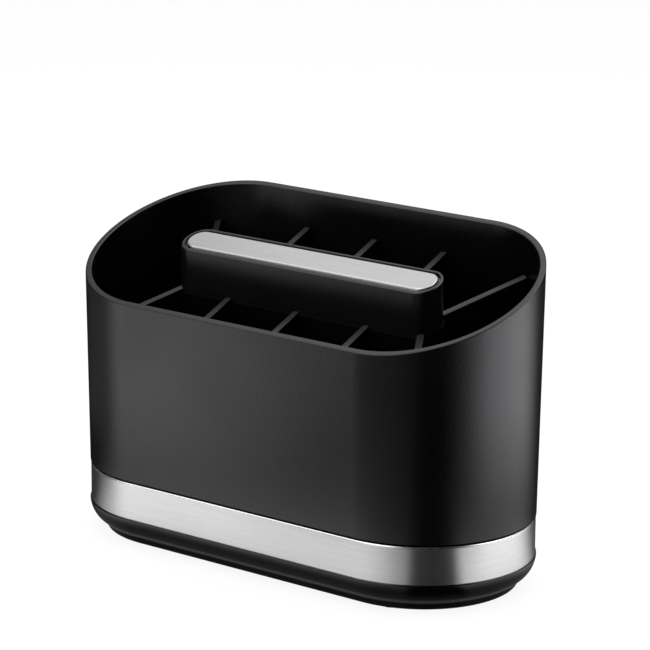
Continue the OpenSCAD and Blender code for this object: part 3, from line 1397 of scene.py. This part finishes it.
@dataclass(frozen=True)
class Studio:
    """White floor and surround, a soft lamp, and the camera.

    The camera sees plain white all round. Glossy surfaces see a bright ring and pools of light on the
    floor, and a sky that is bright between two heights, with dark sides and a break in it.
    """

    azimuth: float = 37.554
    elevation: float = 14.703
    roll: float = 0.406
    distance: float = mm(1520.81)
    lens: float = 175.04
    sensor: float = 36.0
    clip: Point = (0.01, 50.0)
    target: Triple = (mm(-11.53), mm(27.61), mm(103.98))
    floor_size: float = 16.0
    floor_cells: int = 8
    floor_shown: float = 0.91
    floor_seen: float = 0.18
    floor_bounce: float = 0.60
    floor_gloss: float = 0.18
    ring_glow: float = 1.64
    far_glow: float = 0.10
    contact: float = 0.04
    under: float = 0.11
    under_edge: Point = (mm(-8), mm(-1))
    near: Point = (mm(-2), mm(9))
    ring_inner: Point = (mm(4), mm(44))
    ring_outer: Point = (mm(50), mm(113))
    pool_outer: Point = (mm(480), mm(1200))
    surround: float = 0.45
    gloss_surround: float = 0.40
    sky_glow: float = 3.0
    sky_above: float = 0.2
    sky_low: Point = (0.16, 0.36)
    sky_high: Point = (0.80, 0.92)
    sky_break: Sector = Sector(50.0, 43.0, 11.0)
    sky_dim: float = 0.13
    dark_level: float = 0.015
    shade_level: float = 0.40
    dark_sides: tuple[Sector, ...] = (
        Sector(45.5, 18.5, 3.5, pivot=mm(67)),
        Sector(-118.0, 69.0, 27.0, pivot=mm(-67)),
    )
    back_side: Sector = Sector(172.0, 33.0, 20.0, pivot=mm(67))
    lens_shade: Sector = Sector(27.0, 25.0, 18.0, pivot=mm(67))
    pools: tuple[Pool, ...] = (
        Pool(Sector(-48.5, 12.0, 8.0, pivot=mm(46)), 1.85, (mm(80), mm(170))),
        Pool(Sector(-62.0, 32.0, 28.0, pivot=mm(-67)), 0.20, (mm(110), mm(200))),
        Pool(Sector(119.0, 31.5, 20.0, pivot=mm(67)), 3.5, (mm(60), mm(360))),
    )
    lamp: Softbox = Softbox("top_softbox", (-0.09, 0.12, 0.92), (-0.09, 0.12, 0.0), 1.40, 1.25, 1.13)

    def build(self) -> None:
        """Builds the floor, the surround, the lamp and the camera."""
        bpy.context.scene.view_settings.view_transform = "Standard"
        sectors = sector_group()
        self.build_floor(sectors)
        self.build_surround(sectors)
        self.lamp.build()
        self.build_camera()

    def floor_light(self, sheet: LightSheet) -> tuple[Socket, Socket]:
        """Light of the floor round the holder, as glossy surfaces see it.

        It is bright in a ring round the base and in pools further out. It is dim by the lens, at the
        dark sides and behind, but for the strip next to the base, and faint below the base.

        Args:
            sheet: the tree to draw on.

        Returns:
            The sockets of the light and of the paleness.
        """
        outline = Outline.of_node("base")
        place = sheet.add("ShaderNodeTexCoord").outputs["Object"]
        parts = sheet.add("ShaderNodeSeparateXYZ", {"Vector": place}).outputs
        past = sheet.math("SUBTRACT", sheet.math("ABSOLUTE", parts["X"]), outline.centre)
        past = sheet.math("MAXIMUM", past, 0.0)
        squares = (sheet.product(past, past), sheet.product(parts["Y"], parts["Y"]))
        gap = sheet.math("SUBTRACT", sheet.math("SQRT", sheet.math("ADD", *squares)), outline.radius)
        fade = partial(sheet.ramp, gap, smooth=True)
        under = fade(self.under_edge, self.under, 0.0)
        contact = sheet.math("MAXIMUM", fade(self.ring_inner, self.contact, 1.0), under)
        ring = fade(self.ring_outer, self.ring_glow, self.far_glow)
        shade = sheet.span(sheet.outside(place, self.lens_shade), self.shade_level, 1.0)
        open_sides = sheet.outside(place, *self.dark_sides, self.back_side)
        open_sides = sheet.span(open_sides, self.dark_level, 1.0)
        near = fade(self.near, 1.0, 0.0)
        light = sheet.product(ring, sheet.math("MAXIMUM", near, sheet.product(shade, open_sides)))
        end = fade(self.pool_outer, 1.0, 0.0)
        for pool in self.pools:
            glow = sheet.span(sheet.outside(place, pool.sector), pool.glow, 0.0)
            pooled = sheet.product(glow, sheet.product(fade(pool.start), end))
            light = sheet.math("ADD", light, pooled)
        return sheet.product(light, contact), sheet.product(open_sides, self.floor_gloss)

    def build_floor(self, sectors: EffectGroup) -> None:
        """Builds the pale floor, which shows white and keeps the holder's shadow.

        Args:
            sectors: the sector group.
        """
        Bench.clear()
        bpy.ops.mesh.primitive_grid_add(
            x_subdivisions=self.floor_cells, y_subdivisions=self.floor_cells, size=self.floor_size
        )
        floor = Bench.name(bpy.context.object, "studio_floor")
        material = bpy.data.materials.new("studio_floor")
        material.use_nodes = True
        sheet = LightSheet(material.node_tree, sectors)
        light, gloss = self.floor_light(sheet)
        shown = sheet.by_ray(self.floor_shown, 0.0, light)
        pale = sheet.by_ray(self.floor_seen, self.floor_bounce, gloss)
        glow = sheet.add("ShaderNodeEmission", {"Strength": shown})
        matte = sheet.add("ShaderNodeBsdfDiffuse", {"Color": pale})
        both = sheet.add("ShaderNodeAddShader", {0: glow.outputs[0], 1: matte.outputs[0]})
        sheet.add("ShaderNodeOutputMaterial", {"Surface": both.outputs[0]})
        dress(floor, material)

    def build_surround(self, sectors: EffectGroup) -> None:
        """Builds the white surround, with the sky that glossy surfaces see.

        Args:
            sectors: the sector group.
        """
        world = bpy.data.worlds.new("studio_surround")
        world.use_nodes = True
        bpy.context.scene.world = world
        sheet = LightSheet(world.node_tree, sectors)
        way = sheet.add("ShaderNodeTexCoord").outputs["Generated"]
        height = sheet.add("ShaderNodeSeparateXYZ", {"Vector": way}).outputs["Z"]
        low = sheet.ramp(height, self.sky_low, self.gloss_surround, self.sky_glow, smooth=True)
        high = sheet.ramp(height, self.sky_high, 1.0, self.sky_above, smooth=True)
        sides = sheet.span(sheet.outside(way, *self.dark_sides), self.sky_dim, 1.0)
        gap = sheet.span(sheet.outside(way, self.sky_break), self.dark_level, 1.0)
        shown = sheet.by_ray(1.0, self.surround, sheet.product(low, high, sides, gap))
        glow = sheet.add("ShaderNodeBackground", {"Strength": shown})
        sheet.add("ShaderNodeOutputWorld", {"Surface": glow.outputs[0]})

    def build_camera(self) -> None:
        """Makes the camera at the photograph's angle."""
        turn, lift = math.radians(self.azimuth), math.radians(self.elevation)
        back = Vector(
            (math.sin(turn) * math.cos(lift), -math.cos(turn) * math.cos(lift), math.sin(lift))
        )
        lens = bpy.data.cameras.new("photo_camera")
        lens.lens = self.lens
        lens.sensor_width = self.sensor
        lens.clip_start, lens.clip_end = self.clip
        camera = bpy.data.objects.new("photo_camera", lens)
        camera.location = Vector(self.target) + back * self.distance
        level = Euler((math.pi / 2 - lift, 0.0, turn)).to_matrix()
        camera.rotation_euler = (level @ Matrix.Rotation(math.radians(self.roll), 3, "Z")).to_euler()
        bpy.context.scene.collection.objects.link(camera)
        bpy.context.scene.camera = camera


class UtensilHolder:
    """The whole holder: builds its sub-assemblies in order and dresses the solids that stay."""

    def __init__(self, nodes: dict[str, Piece]) -> None:
        """Keeps the frame's solids and makes the materials.

        Args:
            nodes: the solids of the frame, by name.
        """
        self.nodes = nodes
        self.container = Container()
        self.base = Base()
        self.dividers = DividerInsert()
        self.handle = Handle()
        effects = Effects()
        self.looks: Looks = {look: look.value.make(effects) for look in Look}

    def build(self) -> None:
        """Builds and dresses every piece."""
        self.container.build_shell(self.looks)
        self.container.build_band(self.looks)
        self.base.build(self.looks)
        self.dividers.build(self.container, self.looks)
        self.handle.build_moulding(self.looks)
        self.handle.build_inlay(self.looks)
        self.dress_solids()

    def dress_solids(self) -> None:
        """Gives the solids that stay their finishes."""
        kept = {
            # The core gets the painted shade of the insert.
            "divider_core": Look.INSERT_SIDE,
            "handle_screws": Look.SCREW,
            "base_screws": Look.SCREW,
            "plate_tape": Look.TAPE,
            **dict.fromkeys(self.base.feet, Look.RUBBER),
        }
        for node, look in kept.items():
            dress(self.nodes[node], self.looks[look])
            LOG.info("%s stays, in %s", node, look.value.name)


def main() -> None:
    """Loads the frame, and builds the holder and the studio."""
    logging.basicConfig(level=logging.INFO, format="%(name)s: %(message)s")
    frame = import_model()
    UtensilHolder(frame["nodes"]).build()
    Studio().build()
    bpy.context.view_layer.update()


if __name__ == "__main__":
    main()
